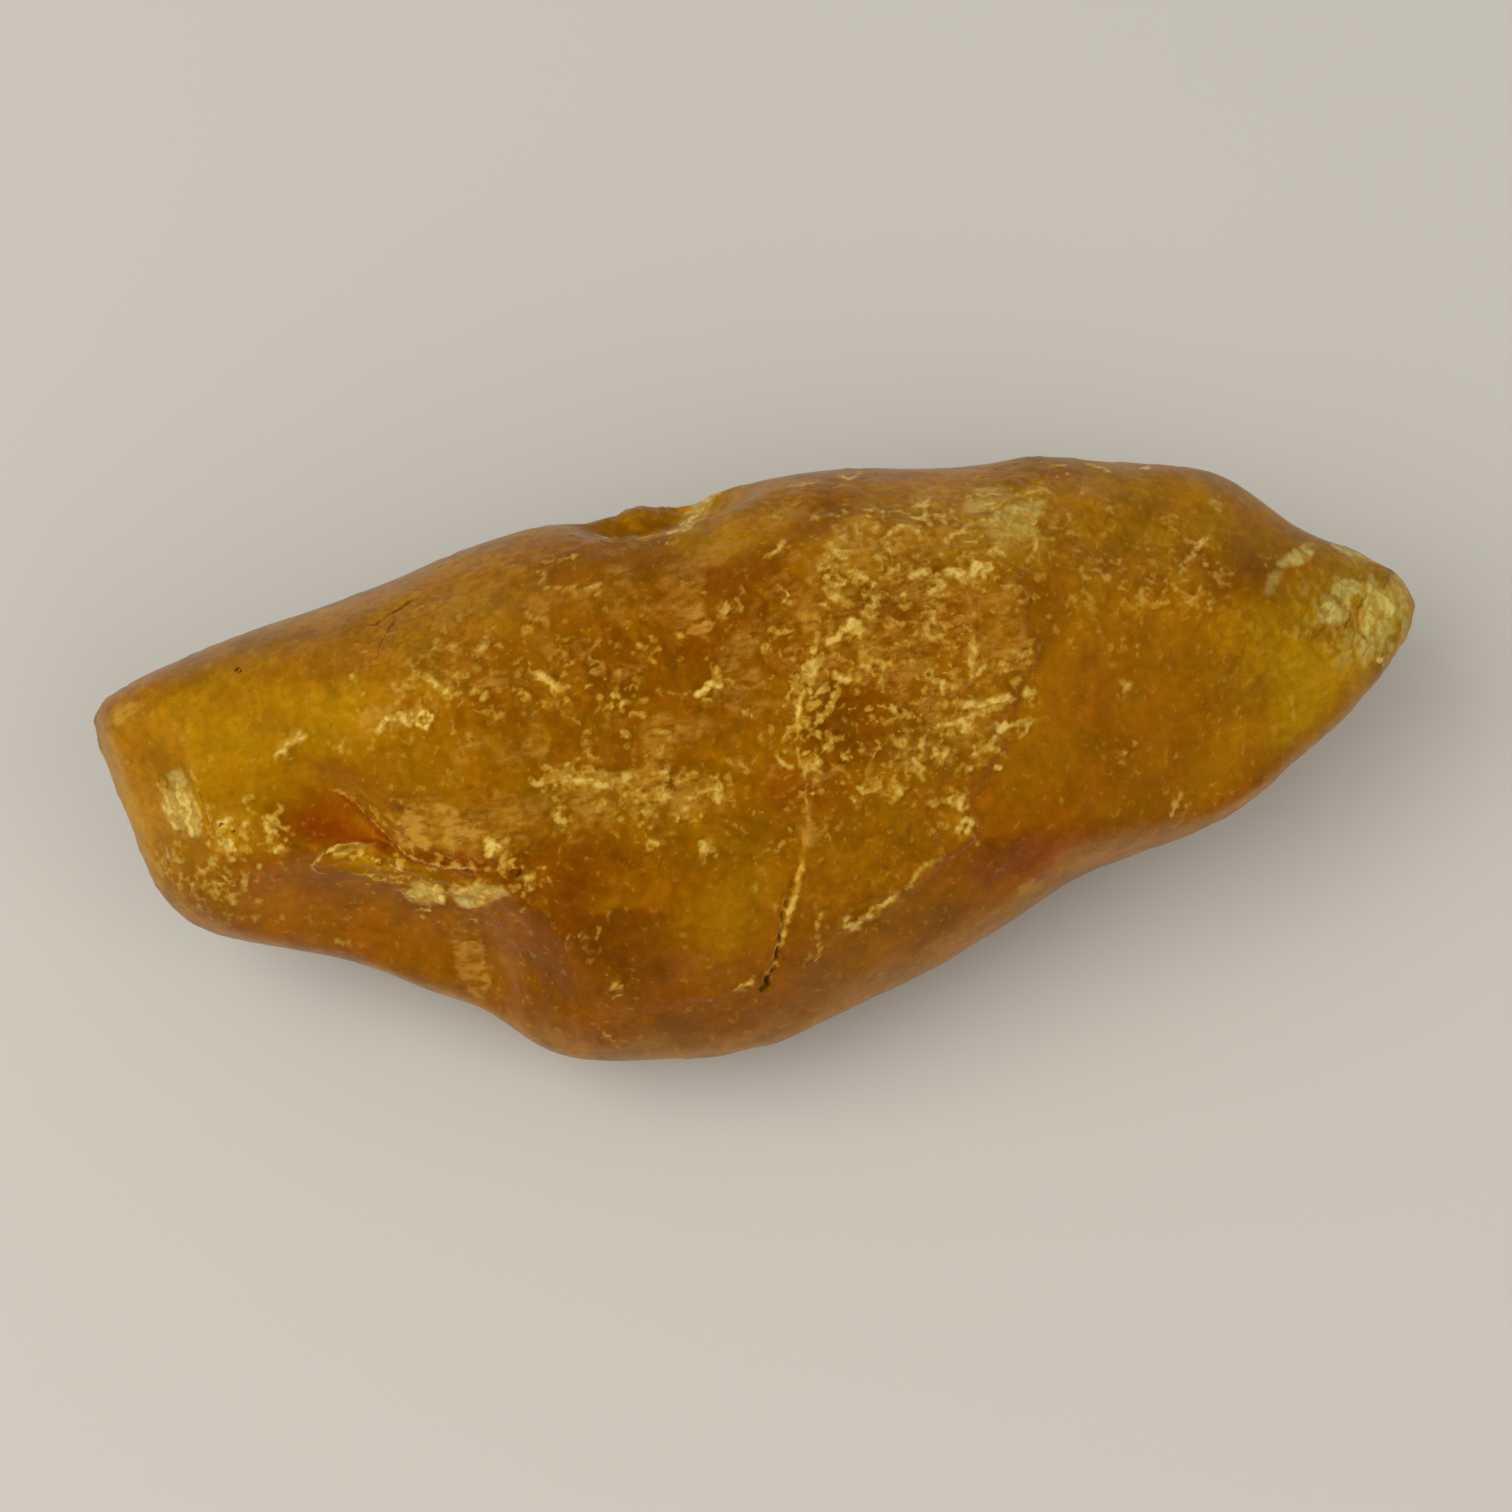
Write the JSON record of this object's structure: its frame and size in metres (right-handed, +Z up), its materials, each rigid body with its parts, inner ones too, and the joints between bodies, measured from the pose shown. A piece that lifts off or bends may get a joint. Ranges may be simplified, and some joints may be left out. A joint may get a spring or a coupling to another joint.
{
  "type": "raw amber nugget",
  "caption": "Elongated raw amber nugget with a blunt broken end, a pointed end, a cracked weathered crust and shell-shaped scars, resting on a worn flat.",
  "frame": {"origin": "centre of the bounding box's bottom, on the surface that the nugget rests on", "axes": "+X along the nugget from its blunt end to its pointed end, +Y towards its far edge, +Z up"},
  "size_m": [0.0624, 0.025, 0.0191],
  "materials": {
    "amber": "waxy, half-clear honey resin with a frosted, finely cracked skin"
  },
  "bodies": {
    "root": {"amber_nugget": "amber"}
  },
  "joints": []
}
